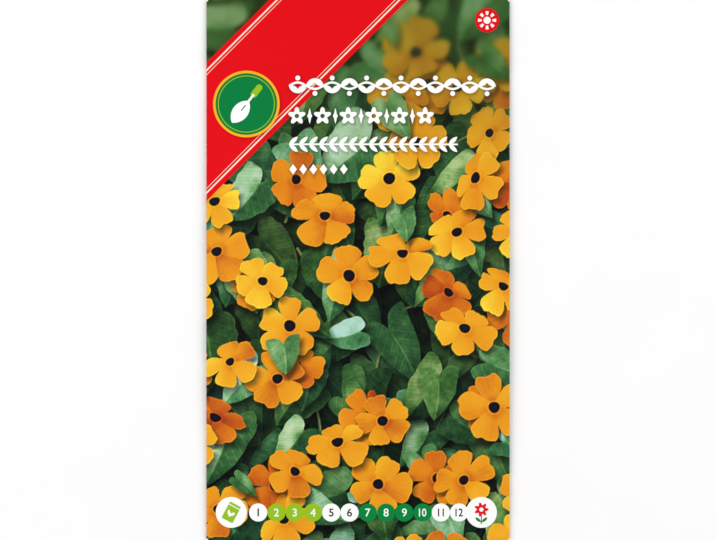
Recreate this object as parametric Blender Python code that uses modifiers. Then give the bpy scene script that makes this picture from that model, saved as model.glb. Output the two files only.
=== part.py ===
"""A printed seed packet, lying on its back.

One sheet of coated paper is folded round and glued along a lap seam at the back, and closed by a flap at
each end. Inside it a heat-sealed sachet holds the seeds. Metres, +Z up. The origin is under the middle of
the packet, +Y runs up its front, and the front faces +Z.
"""

import math
import random

import bmesh
import bpy

MM = 0.001

# The folded packet
WIDTH = 90 * MM
HEIGHT = 161 * MM
PAPER = 0.14 * MM
FOLD_RADIUS = 0.22 * MM
END_RADIUS = 0.36 * MM
DOME = 2.85 * MM
RIM_RISE = 1.0 * MM
RIM_START = 30 * MM
FULLEST_Y = -18 * MM

# Lap seam and end flaps
LAP = 12 * MM
LAP_STEP = 3.6 * MM
BOTTOM_FLAP = 13 * MM
TOP_FLAP = 18 * MM
FLAP_HALF = 44.5 * MM
FLAP_TAPER = 0.35
FLAP_FADE = 4 * MM
PANEL_GAP = 0.8 * MM

# Glue films between two layers of paper
GLUE = 0.06 * MM
GLUE_GAP = 0.04 * MM
SEAM_GLUE_WIDTH = 8 * MM
SEAM_GLUE_LENGTH = 150 * MM
FLAP_GLUE_MARGIN = 4 * MM

# Sachet
SACHET_WIDTH = 64 * MM
SACHET_HEIGHT = 88 * MM
SACHET_SEAL = 7 * MM
SACHET_Y = -18 * MM
FOIL = 0.10 * MM
SACHET_GAP = 0.10 * MM
SEAL_GAP = 0.05 * MM
PILLOW = 3.1 * MM

# Seeds
SEED_COUNT = 20
SEED_WIDTH = 3.7 * MM
SEED_THICKNESS = 2.8 * MM
SEED_SPACING = 4.3 * MM
SEED_AREA = (14 * MM, 22 * MM)
SEED_DRAW = 11

LAYER = PAPER + GLUE + 2 * GLUE_GAP
EDGE_X = WIDTH / 2 - PAPER / 2 - FOLD_RADIUS
EDGE_Y = HEIGHT / 2 - PAPER / 2 - END_RADIUS
PANEL_END = HEIGHT / 2 - PANEL_GAP
SIDE_FOLD = math.pi * FOLD_RADIUS
END_FOLD = math.pi * END_RADIUS
LAP_ROOM = 0.25 * MM

COLLECTION = "seed_packet"


def smooth(t):
    """0 up to t = 0, 1 from t = 1, and an S curve between them."""
    t = min(max(t, 0), 1)
    return t * t * (3 - 2 * t)


def swell(y):
    """How full the packet is at this height: 1 at FULLEST_Y and 0 at both ends."""
    reach = HEIGHT / 2 + math.copysign(FULLEST_Y, y - FULLEST_Y)
    share = min(abs(y - FULLEST_Y) / reach, 1)
    return (1 - share**2.4) ** 1.4


def flap_lift(y):
    """The back panels step up by one layer where they lie on an end flap."""
    if y < 0:
        past = -HEIGHT / 2 + BOTTOM_FLAP + FLAP_FADE + MM - y
    else:
        past = y - (HEIGHT / 2 - TOP_FLAP - FLAP_FADE - MM)
    return LAYER * smooth(past / FLAP_FADE)


def rim_rise(x, y):
    """The back curls up towards its two side folds where the packet is full."""
    return RIM_RISE * smooth((abs(x) - RIM_START) / (WIDTH / 2 - RIM_START)) * swell(y)


def back_height(x, y):
    return PAPER / 2 + flap_lift(y) + rim_rise(x, y)


def front_height(x, y):
    share = min(abs(x) / EDGE_X, 1)
    dome = DOME * swell(y) * (1 - share**2.6) ** 1.3
    edge = back_height(EDGE_X, y) + 2 * FOLD_RADIUS
    return edge + LAP_ROOM * (1 - share**2) + dome


def flap_height(x, y):
    return PAPER / 2 + rim_rise(x, y)


def across(u, y):
    """(x, z) of the sheet's middle surface, u along the blank from the middle of the front, at height y."""
    side = math.copysign(1, u)
    past = abs(u) - EDGE_X
    if past <= 0:
        return u, front_height(u, y)
    if past < SIDE_FOLD:
        turn = math.pi * past / SIDE_FOLD
        middle = back_height(EDGE_X, y) + FOLD_RADIUS
        return side * (EDGE_X + FOLD_RADIUS * math.sin(turn)), middle + FOLD_RADIUS * math.cos(turn)
    x = side * (EDGE_X - (past - SIDE_FOLD))
    # The left panel ends inside the right one, so it steps up just before the lap.
    step = LAYER * smooth((x + LAP / 2 + LAP_STEP) / LAP_STEP) if side < 0 else 0
    return x, back_height(x, y) + step


def placed(u, v):
    """Where the point (u, v) of the flat blank lies once every fold is made."""
    past = abs(v) - EDGE_Y
    if past <= 0:
        x, z = across(u, v)
        return x, v, z
    side = math.copysign(1, v)
    if past < END_FOLD:
        turn = math.pi * past / END_FOLD
        high, low = front_height(u, side * EDGE_Y), flap_height(u, side * EDGE_Y)
        y = side * (EDGE_Y + END_RADIUS * math.sin(turn))
        return u, y, (high + low) / 2 + (high - low) / 2 * math.cos(turn)
    depth = past - END_FOLD
    x = u * (1 - FLAP_TAPER * depth / FLAP_HALF)
    y = side * (EDGE_Y - depth)
    return x, y, flap_height(x, y)


def spread(start, end, count):
    """count + 1 places from start to end, evenly apart."""
    return [start + (end - start) * k / count for k in range(count + 1)]


def blank_columns():
    """The blank's lines across: both back panels, both side folds and the front."""
    front = [-EDGE_X, *spread(-FLAP_HALF, FLAP_HALF, 18), EDGE_X]
    fold = spread(EDGE_X, EDGE_X + SIDE_FOLD, 4)[1:]

    def on_back(x):
        return EDGE_X + SIDE_FOLD + EDGE_X - x

    rim = spread(WIDTH / 2 - 5 * MM, RIM_START, 3)
    right = [on_back(x) for x in [*rim, -LAP / 2]]
    left = [on_back(x) for x in [*rim, *spread(LAP / 2 + LAP_STEP, LAP / 2, 4), -LAP / 2]]
    return sorted([-u for u in fold + left] + front + fold + right)


def blank_rows():
    """The blank's lines up its height: the bottom flap and fold, the panels, and the top fold and flap."""
    panel = spread(-PANEL_END, PANEL_END, 22)
    fades = spread(-HEIGHT / 2 + BOTTOM_FLAP + MM, -HEIGHT / 2 + BOTTOM_FLAP + MM + FLAP_FADE, 3)
    fades += spread(HEIGHT / 2 - TOP_FLAP - MM - FLAP_FADE, HEIGHT / 2 - TOP_FLAP - MM, 3)
    clear = [v for v in panel if all(abs(v - f) > MM for f in fades)]
    fold = spread(EDGE_Y, EDGE_Y + END_FOLD, 5)
    ends = []
    for side, depth in ((-1, BOTTOM_FLAP), (1, TOP_FLAP)):
        flap = spread(EDGE_Y + END_FOLD, EDGE_Y + END_FOLD + depth, 4)[1:]
        ends += [side * v for v in fold + flap]
    return sorted(clear + fades + ends)


def packet_object(name, mesh, colour, roughness, metallic=0.0):
    """Puts the mesh in the packet's collection as one named object with a material of its own."""
    material = bpy.data.materials.new(name)
    material.use_nodes = True
    shader = material.node_tree.nodes["Principled BSDF"]
    shader.inputs["Base Color"].default_value = (*colour, 1)
    shader.inputs["Roughness"].default_value = roughness
    shader.inputs["Metallic"].default_value = metallic
    mesh.materials.append(material)
    obj = bpy.data.objects.new(name, mesh)
    bpy.data.collections[COLLECTION].objects.link(obj)
    return obj


def sheet_mesh(name, columns, rows, place, keeps=lambda u, v: True):
    """A grid with a vertex at place(u, v) for each column u and row v, less the cells that keeps leaves out."""
    bm = bmesh.new()
    bmesh.ops.create_grid(bm, x_segments=len(columns) - 1, y_segments=len(rows) - 1, size=1)
    bm.verts.ensure_lookup_table()
    for index, vertex in enumerate(bm.verts):
        row, column = divmod(index, len(columns))
        vertex.co = (columns[column], rows[row], 0)
    outside = [f for f in bm.faces if not keeps(*f.calc_center_median()[:2])]
    bmesh.ops.delete(bm, geom=outside, context="FACES")
    for vertex in bm.verts:
        vertex.co = place(vertex.co.x, vertex.co.y)
    mesh = bpy.data.meshes.new(name)
    bm.to_mesh(mesh)
    bm.free()
    mesh.shade_smooth()
    return mesh


def thicken(obj, thickness):
    solidify = obj.modifiers.new("thickness", "SOLIDIFY")
    solidify.thickness = thickness
    solidify.offset = 0
    solidify.use_even_offset = True
    return obj


def make_envelope():
    """The printed sheet, folded: only the columns of the front carry on into the end folds and flaps."""

    def on_blank(u, v):
        return abs(v) < PANEL_END or abs(u) < FLAP_HALF

    mesh = sheet_mesh("envelope", blank_columns(), blank_rows(), placed, on_blank)
    thicken(packet_object("envelope", mesh, (0.16, 0.30, 0.06), 0.35), PAPER)


def make_glue(name, columns, rows, height):
    mesh = sheet_mesh(name, columns, rows, lambda x, y: (x, y, height(x, y)))
    thicken(packet_object(name, mesh, (0.78, 0.74, 0.62), 0.5), GLUE)


def make_glue_films():
    """A film under the lap, and one on each end flap, each halfway between the papers that it joins."""
    half = SEAM_GLUE_WIDTH / 2
    rows = [y for y in blank_rows() if abs(y) < SEAM_GLUE_LENGTH / 2]
    rows = [-SEAM_GLUE_LENGTH / 2, *rows, SEAM_GLUE_LENGTH / 2]
    make_glue("glue_lap_seam", [-half, half], rows, lambda x, y: (LAYER + PAPER) / 2 + flap_lift(y))
    for name, side, depth in (("glue_bottom_flap", -1, BOTTOM_FLAP), ("glue_top_flap", 1, TOP_FLAP)):
        reach = FLAP_HALF - FLAP_TAPER * depth - FLAP_GLUE_MARGIN
        ends = sorted(side * (EDGE_Y - y) for y in (FLAP_GLUE_MARGIN / 2, depth - FLAP_GLUE_MARGIN / 2))
        make_glue(
            name,
            spread(-reach, reach, 12),
            spread(*ends, 3),
            lambda x, y: (LAYER + PAPER) / 2 + rim_rise(x, y),
        )


def sachet_floor():
    """Height of the sachet's back web: it lies on the lap, where the paper is two layers deep."""
    return LAYER + PAPER + SACHET_GAP + FOIL / 2


def sachet_roof(x, y):
    """Height of the sachet's front web: flat on the seals and puffed up between them."""
    across_share = abs(x) / (SACHET_WIDTH / 2 - SACHET_SEAL)
    along_share = abs(y - SACHET_Y) / (SACHET_HEIGHT / 2 - SACHET_SEAL)
    inside = across_share < 1 and along_share < 1
    puff = (1 - across_share**3) * (1 - along_share**3) if inside else 0
    return sachet_floor() + FOIL + SEAL_GAP + PILLOW * smooth(puff * 1.12)


def make_sachet():
    inner = SACHET_WIDTH / 2 - SACHET_SEAL
    inner_end = SACHET_HEIGHT / 2 - SACHET_SEAL
    columns = [-SACHET_WIDTH / 2, *spread(-inner, inner, 14), SACHET_WIDTH / 2]
    rows = [SACHET_Y + y for y in (-SACHET_HEIGHT / 2, *spread(-inner_end, inner_end, 18), SACHET_HEIGHT / 2)]
    for name, height in (
        ("sachet_back_web", lambda x, y: sachet_floor()),
        ("sachet_front_web", sachet_roof),
    ):
        mesh = sheet_mesh(name, columns, rows, lambda x, y, height=height: (x, y, height(x, y)))
        thicken(packet_object(name, mesh, (0.80, 0.80, 0.78), 0.35, 0.3), FOIL)


def seed_mesh():
    """A flattened ball with the hollow that these seeds have in one side."""
    bm = bmesh.new()
    bmesh.ops.create_uvsphere(bm, u_segments=12, v_segments=8, radius=1)
    for vertex in bm.verts:
        from_hollow = math.acos(max(-1, min(1, vertex.co.x)))
        depth = 1 - 0.26 * math.exp(-((from_hollow / 0.55) ** 2))
        vertex.co.x *= depth * SEED_WIDTH / 2
        vertex.co.y *= depth * SEED_WIDTH / 2
        vertex.co.z *= depth * SEED_THICKNESS / 2
    mesh = bpy.data.meshes.new("seed")
    bm.to_mesh(mesh)
    bm.free()
    mesh.shade_smooth()
    return mesh


def seed_places():
    """Seeded draws inside an oval, each kept if it is clear of those before it."""
    draw = random.Random(SEED_DRAW)
    places = []
    while len(places) < SEED_COUNT:
        x, y = (draw.uniform(-1, 1) for _ in range(2))
        spot = (x * SEED_AREA[0], SACHET_Y + y * SEED_AREA[1])
        if math.hypot(x, y) < 1 and all(math.dist(spot, other) > SEED_SPACING for other in places):
            places.append(spot)
    return places


def make_seeds():
    draw = random.Random(SEED_DRAW + 1)
    height = sachet_floor() + FOIL / 2 + SACHET_GAP + SEED_THICKNESS / 2
    for number, (x, y) in enumerate(seed_places(), start=1):
        seed = packet_object(f"seed_{number:02d}", seed_mesh(), (0.16, 0.10, 0.06), 0.8)
        seed.location = (x, y, height)
        seed.rotation_euler = (0, 0, draw.uniform(0, 2 * math.pi))


def main():
    for obj in list(bpy.data.objects):
        bpy.data.objects.remove(obj, do_unlink=True)
    bpy.context.scene.collection.children.link(bpy.data.collections.new(COLLECTION))
    make_envelope()
    make_glue_films()
    make_sachet()
    make_seeds()


main()
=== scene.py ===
import math
import bmesh
import bpy
import numpy as np
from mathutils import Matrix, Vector


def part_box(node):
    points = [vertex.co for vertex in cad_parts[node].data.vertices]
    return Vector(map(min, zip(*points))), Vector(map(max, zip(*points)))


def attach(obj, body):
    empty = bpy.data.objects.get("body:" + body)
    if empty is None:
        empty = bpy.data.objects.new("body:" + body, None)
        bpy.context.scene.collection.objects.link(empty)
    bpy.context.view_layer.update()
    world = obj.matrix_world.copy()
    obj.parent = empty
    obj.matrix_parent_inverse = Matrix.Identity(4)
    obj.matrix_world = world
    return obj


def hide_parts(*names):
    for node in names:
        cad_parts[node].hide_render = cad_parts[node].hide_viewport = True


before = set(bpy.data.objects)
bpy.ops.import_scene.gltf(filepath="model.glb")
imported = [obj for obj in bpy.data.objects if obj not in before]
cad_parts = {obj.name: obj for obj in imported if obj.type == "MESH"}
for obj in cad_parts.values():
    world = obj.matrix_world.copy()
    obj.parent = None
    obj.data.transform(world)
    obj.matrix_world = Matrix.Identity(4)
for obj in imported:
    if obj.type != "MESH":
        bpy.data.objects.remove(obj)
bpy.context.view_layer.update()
print("loaded", len(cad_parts), "nodes")

mm = 0.001

# The folded sheet, as it is in the solids. Lengths in mm, u across the flat blank and v up it.
sheet = {
    "width": 90.0,
    "height": 161.0,
    "paper": 0.14,
    "foldRadius": 0.22,
    "endRadius": 0.36,
    "dome": 2.85,
    "rimRise": 1.0,
    "rimStart": 30.0,
    "fullestY": -18.0,
    "lap": 12.0,
    "lapStep": 3.6,
    "lapRoom": 0.25,
    "layer": 0.28,
    "bottomFlap": 13.0,
    "topFlap": 18.0,
    "flapHalf": 44.5,
    "flapTaper": 0.35,
    "flapFade": 4.0,
    "panelGap": 0.8,
    "finePitch": 0.22,  # grid of the printed front
    "backPitch": 0.9,
    "tiles": 4,
    "relief": 0.05,  # how far the sachet and its seeds show through the front
    "bumpReach": 2.6,
    "waviness": 0.06,
}
edgeX = sheet["width"] / 2 - sheet["paper"] / 2 - sheet["foldRadius"]
edgeY = sheet["height"] / 2 - sheet["paper"] / 2 - sheet["endRadius"]
panelEnd = sheet["height"] / 2 - sheet["panelGap"]
sideFold = math.pi * sheet["foldRadius"]
endFold = math.pi * sheet["endRadius"]
pastFold = edgeX + sideFold


def hold(t, low=0.0, high=1.0):
    # t, but never under low or over high
    return np.minimum(np.maximum(t, low), high)


def ease(low, high, t):
    # 0 up to low, 1 from high, and 3s^2 - 2s^3 between them
    s = hold((t - low) / (high - low))
    return s * s * (3 - 2 * s)


def turned(x, y, degrees):
    # (x, y) in axes turned by an angle: x cos + y sin, and y cos - x sin
    c, s = math.cos(math.radians(degrees)), math.sin(math.radians(degrees))
    return x * c + y * s, y * c - x * s


def swell(y):
    # how full the packet is: (1 - share^2.4)^1.4, with share 0 where it is fullest and 1 at its ends
    reach = sheet["height"] / 2 + np.copysign(sheet["fullestY"], y - sheet["fullestY"])
    share = hold(np.abs(y - sheet["fullestY"]) / reach)
    return (1 - share**2.4) ** 1.4


def flapLift(y):
    # one layer of paper and glue higher where a panel lies on an end flap
    low = -sheet["height"] / 2 + sheet["bottomFlap"] + sheet["flapFade"] + 1 - y
    high = y - (sheet["height"] / 2 - sheet["topFlap"] - sheet["flapFade"] - 1)
    return sheet["layer"] * ease(0, sheet["flapFade"], np.where(y < 0, low, high))


def rimRise(x, y):
    # the back curls up to its side folds: an S curve from rimStart to the edge, times the swell
    return sheet["rimRise"] * ease(sheet["rimStart"], sheet["width"] / 2, np.abs(x)) * swell(y)


def backHeight(x, y):
    # the middle of a back panel's paper: half its thickness, its lift over an end flap and its curl
    return sheet["paper"] / 2 + flapLift(y) + rimRise(x, y)


def frontHeight(x, y):
    # dome swell(y) (1 - share^2.6)^1.3 over the two side folds, with share 0 in the middle and 1 at a fold
    share = hold(np.abs(x) / edgeX)
    edge = backHeight(edgeX, y) + 2 * sheet["foldRadius"]
    return edge + sheet["lapRoom"] * (1 - share**2) + sheet["dome"] * swell(y) * (1 - share**2.6) ** 1.3


def flapHeight(x, y):
    # the same for an end flap, which lies lowest
    return sheet["paper"] / 2 + rimRise(x, y)


def wrapped(u, y):
    # (x, z) of the middle of the paper: the front, a half turn of the fold's radius, then a back panel
    side, past = np.sign(u), np.abs(u) - edgeX
    turn = math.pi * hold(past / sideFold)
    middle = backHeight(edgeX, y) + sheet["foldRadius"]
    foldX = side * (edgeX + sheet["foldRadius"] * np.sin(turn))
    foldZ = middle + sheet["foldRadius"] * np.cos(turn)
    backX = side * (edgeX - (past - sideFold))
    step = sheet["layer"] * ease(-sheet["lap"] / 2 - sheet["lapStep"], -sheet["lap"] / 2, backX)
    backZ = backHeight(backX, y) + np.where(side < 0, step, 0)
    x = np.where(past <= 0, u, np.where(past < sideFold, foldX, backX))
    z = np.where(past <= 0, frontHeight(u, y), np.where(past < sideFold, foldZ, backZ))
    return x, z


def placed(u, v):
    # where a point of the flat blank lies when the sheet is folded: past the ends it turns through a half
    # ellipse onto the back and runs on as a flap that narrows
    side, past = np.sign(v), np.abs(v) - edgeY
    level = hold(v, -edgeY, edgeY)
    x, z = wrapped(u, level)
    turn = math.pi * hold(past / endFold)
    low = flapHeight(u, level)
    depth = np.maximum(past - endFold, 0)
    onFlap = past >= endFold
    flapX = u * (1 - sheet["flapTaper"] * depth / sheet["flapHalf"])
    flapY = side * (edgeY + sheet["endRadius"] * np.sin(turn) - depth)
    foldZ = (z + low) / 2 + (z - low) / 2 * np.cos(turn)
    x = np.where(onFlap, flapX, x)
    y = np.where(past > 0, flapY, v)
    z = np.where(onFlap, flapHeight(flapX, flapY), np.where(past > 0, foldZ, z))
    return np.stack((x, y, z), axis=-1)


seedPlaces = []
for number in range(1, 21):
    low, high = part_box(f"seed_{number:02d}")
    seedPlaces.append([(a + b) / 2 / mm for a, b in zip(low, high)])
seedPlaces = np.array(seedPlaces)
low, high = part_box("sachet_front_web")
sachetOutline = (low[0] / mm, low[1] / mm, high[0] / mm, high[1] / mm)


def relief(u, v):
    # on the front: a soft step over the sachet's edge, a low round bump over each seed, and three slow waves
    x0, y0, x1, y1 = sachetOutline
    inset = np.minimum(np.minimum(u - x0, x1 - u), np.minimum(v - y0, y1 - v))
    rise = sheet["relief"] * ease(-1.6, 1.2, inset)
    for x, y, _ in seedPlaces:
        rise = rise + sheet["relief"] * np.exp(-((u - x) ** 2 + (v - y) ** 2) / sheet["bumpReach"] ** 2)
    waves = np.sin(0.115 * u + 0.062 * v + 0.7) + np.sin(0.051 * u - 0.148 * v + 2.1)
    waves = waves + 0.6 * np.sin(0.21 * u + 0.19 * v + 4.4) * np.sin(0.09 * v)
    rise = rise + sheet["waviness"] * waves / 2.6
    return rise * ease(edgeX, edgeX - 9, np.abs(u)) * ease(panelEnd, panelEnd - 8, np.abs(v))


def middleSurface(u, v):
    # the folded sheet with its relief added to its height on the front
    place = placed(u, v)
    onFront = (np.abs(u) < edgeX) & (np.abs(v) < panelEnd)
    place[..., 2] += np.where(onFront, relief(u, v), 0)
    return place


def facing(place, u, v):
    # unit normals: the cross product of the surface's slopes along u and along v
    alongU = np.gradient(place, u, axis=1)
    alongV = np.gradient(place, v, axis=0)
    normal = np.cross(alongU, alongV)
    return normal / np.linalg.norm(normal, axis=-1, keepdims=True)


def stitched(fine, coarse):
    # triangles between a fine and a coarse edge line: each fine step goes to the coarse point beside it, and
    # one more triangle fills the gap wherever that point changes
    apex = np.round(np.linspace(0, len(coarse) - 1, len(fine))).astype(int)
    steps = np.stack((fine[1:], fine[:-1], coarse[apex[:-1]]), axis=1)
    change = np.nonzero(np.diff(apex))[0]
    gaps = np.stack((fine[change + 1], coarse[apex[change]], coarse[apex[change + 1]]), axis=1)
    return np.concatenate((steps, gaps))


def gridFaces(rows, columns, first=0):
    # the numbers of a grid's points, and the four corners of each of its faces
    index = first + np.arange(rows * columns).reshape(rows, columns)
    faces = np.stack((index[:-1, :-1], index[:-1, 1:], index[1:, 1:], index[1:, :-1]), axis=-1)
    return index, faces.reshape(-1, 4)


def everyFew(line, few):
    # every few-th value of a line, with both its ends
    return line[np.unique(np.round(np.linspace(0, len(line) - 1, max(2, len(line) // few + 1))).astype(int))]


def newPiece(name, points, quads, triangles, kinds, materials, sharp=35):
    # fills a mesh from arrays, in metres; kinds holds each face's material number
    mesh = bpy.data.meshes.new(name)
    corners = np.concatenate((quads.ravel(), triangles.ravel())).astype(np.int32)
    sizes = np.concatenate((np.full(len(quads), 4), np.full(len(triangles), 3)))
    starts = np.concatenate(([0], np.cumsum(sizes)[:-1])).astype(np.int32)
    mesh.vertices.add(len(points))
    mesh.vertices.foreach_set("co", (points * mm).astype(np.float32).ravel())
    mesh.loops.add(len(corners))
    mesh.loops.foreach_set("vertex_index", corners)
    mesh.polygons.add(len(sizes))
    mesh.polygons.foreach_set("loop_start", starts)
    for material in materials:
        mesh.materials.append(material)
    mesh.polygons.foreach_set("material_index", kinds.astype(np.int32))
    mesh.update(calc_edges=True)
    mesh.shade_smooth()
    mesh.set_sharp_from_angle(angle=math.radians(sharp))
    piece = bpy.data.objects.new(name, mesh)
    bpy.context.scene.collection.objects.link(piece)
    return piece


def wallsBetween(top, under):
    # the four stitched walls that close a slab round its edge
    return np.concatenate((
        stitched(top[0], under[0]),
        stitched(top[:, -1], under[:, -1]),
        stitched(top[-1, ::-1], under[-1, ::-1]),
        stitched(top[::-1, 0], under[::-1, 0]),
    ))


def paperSlab(name, u, v, few, materials, flapFrom=1e9):
    # a piece of the sheet: a fine outer face, a coarse inner face and four walls stitched between them
    middle = middleSurface(*np.meshgrid(u, v))
    outer = middle + facing(middle, u, v) * sheet["paper"] / 2
    uFew, vFew = everyFew(u, few), everyFew(v, few)
    rows, columns = np.searchsorted(v, vFew), np.searchsorted(u, uFew)
    inner = (2 * middle - outer)[rows][:, columns]
    top, outerQuads = gridFaces(len(v), len(u))
    under, innerQuads = gridFaces(len(vFew), len(uFew), top.size)
    walls = wallsBetween(top, under)
    quads = np.concatenate((outerQuads, innerQuads[:, ::-1]))
    kinds = np.ones(len(quads) + len(walls))
    onFlap = np.abs(v[:-1] + v[1:]) / 2 > flapFrom
    kinds[: len(outerQuads)] = np.repeat(np.where(onFlap, 2, 0), len(u) - 1)
    points = np.concatenate((outer.reshape(-1, 3), inner.reshape(-1, 3)))
    piece = newPiece(name, points, quads, walls, kinds, materials)
    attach(piece, "root")
    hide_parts("envelope")
    if materials[0] == frontPrint:
        paint(piece, u, v)
    return piece


def lines(*stops):
    # grid lines through the stops: each stop but the first gives its place and the pitch up to it
    parts, at = [np.array([stops[0]])], stops[0]
    for place, pitch in stops[1:]:
        steps = max(1, int(math.ceil(abs(place - at) / pitch - 1e-6)))
        parts.append(np.linspace(at, place, steps + 1)[1:])
        at = place
    return np.concatenate(parts)


# What the printed picture is made of. Lengths are in millimetres, angles in degrees, colours as 0 to 255.
picture = {
    "pitch": 0.14,
    "seed": 8,
    "lightFrom": 122,
    "groundDark": (3, 15, 9),
    "groundLight": (22, 48, 30),
    "patches": ((0.6, 6.0), (0.4, 2.2)),  # weight and cell of each octave
    "grain": ((0.5, 2.6), (0.3, 1.1), (0.2, 0.5)),
    "leafTones": ((4, 15, 8), (20, 51, 31), (48, 94, 49), (93, 145, 83), (158, 195, 142), (194, 217, 180)),
    "petalTones": ((134, 42, 24), (190, 86, 24), (231, 149, 27), (242, 176, 38), (252, 216, 60)),
    "stemTones": ((40, 60, 30), (92, 110, 56), (150, 160, 96)),
    "eye": (14, 7, 14),
    "eyeHeart": (18, 18, 44),
    "bloomRadius": 9.3,
    "eyeShare": 0.175,
    "leafLength": 12.6,
    "leafLayers": ((8, 0.12, 0.5), (9.5, 0.24, 0.68), (11.5, 0.34, 0.9), (16.5, 0.50, 1.0)),
    "blurFrom": 34,  # heights at which the far, hazy part begins and is full
    "blurTo": 72,
    "hazeFrom": 22,
    "hazeTo": 76,
    "haze": (62, 86, 28),
    "shadows": {  # how far each is moved, how soft it is and how deep
        "leaf": ((0.8, -1.5), 2.1, 0.62),
        "stem": ((0.4, -0.8), 0.7, 0.45),
        "behind": ((0.8, -1.3), 1.3, 0.5),
        "bloom": ((0.8, -1.3), 1.7, 0.5),
        "laidOver": ((1.0, -1.6), 1.3, 0.55),
    },
}


def toned(tone, tones):
    # the colour at tone 0 to 1 along evenly spaced tones
    places = np.linspace(0, 1, len(tones))
    return np.stack([np.interp(tone, places, [c[k] for c in tones]) for k in range(3)], axis=-1) / 255


def boxBlur(field, reach):
    # the mean of the 2n+1 neighbours each way, as a difference of running sums
    n = max(int(round(reach)), 1)
    for axis in (0, 1):
        wide = np.pad(field, [(n + 1, n) if a == axis else (0, 0) for a in range(field.ndim)], mode="edge")
        total = np.cumsum(wide, axis=axis, dtype=np.float64)
        size = field.shape[axis]
        high = np.take(total, range(2 * n + 1, 2 * n + 1 + size), axis=axis)
        low = np.take(total, range(0, size), axis=axis)
        field = ((high - low) / (2 * n + 1)).astype(np.float32)
    return field


def softNoise(shape, cell, draw):
    # seeded random numbers on a coarse grid, stretched by cubic steps between them, 0 to 1
    rows, columns = (int(n / cell) + 3 for n in shape)
    coarse = draw.random((rows, columns)).astype(np.float32)
    y, x = (np.arange(n) / cell for n in shape)
    i, j = y.astype(int), x.astype(int)
    s, t = y - i, x - j
    s, t = (s * s * (3 - 2 * s))[:, None], (t * t * (3 - 2 * t))[None, :]
    top = coarse[i][:, j] * (1 - t) + coarse[i][:, j + 1] * t
    low = coarse[i + 1][:, j] * (1 - t) + coarse[i + 1][:, j + 1] * t
    return top * (1 - s) + low * s


def mixedNoise(shape, octaves, draw):
    # a weighted sum of soft noise
    return sum(weight * softNoise(shape, cell / picture["pitch"], draw) for weight, cell in octaves)


def newCanvas(halfWidth, halfHeight):
    # dark ground in patches, and a grain that the leaves and petals take their fine tones from
    pitch, draw = picture["pitch"], np.random.default_rng(picture["seed"] + 100)
    x = np.arange(-halfWidth, halfWidth + pitch, pitch, dtype=np.float32)
    y = np.arange(-halfHeight, halfHeight + pitch, pitch, dtype=np.float32)
    shape = (len(y), len(x))
    patches = mixedNoise(shape, picture["patches"], draw)
    grain = mixedNoise(shape, picture["grain"], draw)
    tones = (picture["groundDark"], picture["groundDark"], picture["groundLight"])
    return {"x": x, "y": y, "ink": toned(patches, tones).astype(np.float32), "grain": grain}


def stamp(canvas, centre, reach, form, shadow):
    # lays one form over the canvas: first its shadow, which is the form moved and softened, then its colour
    x, y, pitch = canvas["x"], canvas["y"], picture["pitch"]
    wide = reach + 3
    i0, i1 = np.searchsorted(y, (centre[1] - wide, centre[1] + wide))
    j0, j1 = np.searchsorted(x, (centre[0] - wide, centre[0] + wide))
    if i1 - i0 < 2 or j1 - j0 < 2:
        return
    dx, dy = np.meshgrid(x[j0:j1] - centre[0], y[i0:i1] - centre[1])
    ink = canvas["ink"][i0:i1, j0:j1]
    move, soft, depth = shadow
    inside, _ = form(dx - move[0], dy - move[1], None)
    ink *= 1 - (depth * ease(-soft, soft, inside))[..., None]
    inside, colour = form(dx, dy, canvas["grain"][i0:i1, j0:j1])
    cover = hold(inside / pitch * 0.8 + 0.5)[..., None]
    ink *= 1 - cover
    ink += cover * colour


def leafForm(leaf):
    length, width = leaf["length"], leaf["width"]
    # how far each half of the blade leans to the light
    lean = math.sin(math.radians(picture["lightFrom"] - leaf["turn"]))

    def form(dx, dy, grain):
        # polar about the leaf stalk: the edge is a round blade, plus a long tip, plus two lobes at the back,
        # less the notch between them
        along, across = turned(dx, dy, leaf["turn"])
        across = across / width
        across = across - leaf["bend"] * along * np.abs(along) / length
        r = np.hypot(along, across)
        angle = np.abs(np.arctan2(across, along))
        edge = 0.44 + 0.56 * np.exp(-angle / 0.5)
        edge = edge + leaf["lobes"] * np.exp(-(np.abs((angle - 2.3) / 0.42) ** 1.5))
        edge = edge * (1 - 0.55 * np.exp(-(((math.pi - angle) / 0.26) ** 2)))
        edge = edge * (1 + leaf["wave"] * np.cos(leaf["waves"] * angle + leaf["phase"]))
        inside = (length * edge - r) * min(width, 1)
        if grain is None:
            return inside, None
        side = np.tanh(across / (0.035 * length))
        # the side veins leave the midrib at a slant, and the blade is quilted between them
        slant = (along - 0.75 * np.abs(across)) / (0.19 * length)
        quilt = np.cos(2 * math.pi * slant)
        vein = np.exp(-(((slant - np.round(slant)) / 0.10) ** 2)) * ease(0.0, 0.12, np.abs(across) / length)
        rib = np.exp(-((across / (0.012 * length + 0.10)) ** 2)) * ease(-0.1, 0.0, along / length)
        lit = 0.5 + 0.5 * side * lean
        sheen = leaf["sheen"] * np.exp(-(((r / length - 0.36) / 0.24) ** 2)) * lit
        tone = leaf["tone"] + 0.14 * side * lean - 0.012 * quilt + 0.32 * (grain - 0.5) + sheen
        tone = tone + 0.08 * vein + 0.16 * rib - 0.12 * ease(0.5, 1.0, r / length)
        tone = tone + 0.17 * np.exp(-((inside / 0.2) ** 2)) * leaf["rim"]
        colour = toned(tone, picture["leafTones"])
        return inside, colour * np.array(leaf["tint"])

    return form


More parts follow.
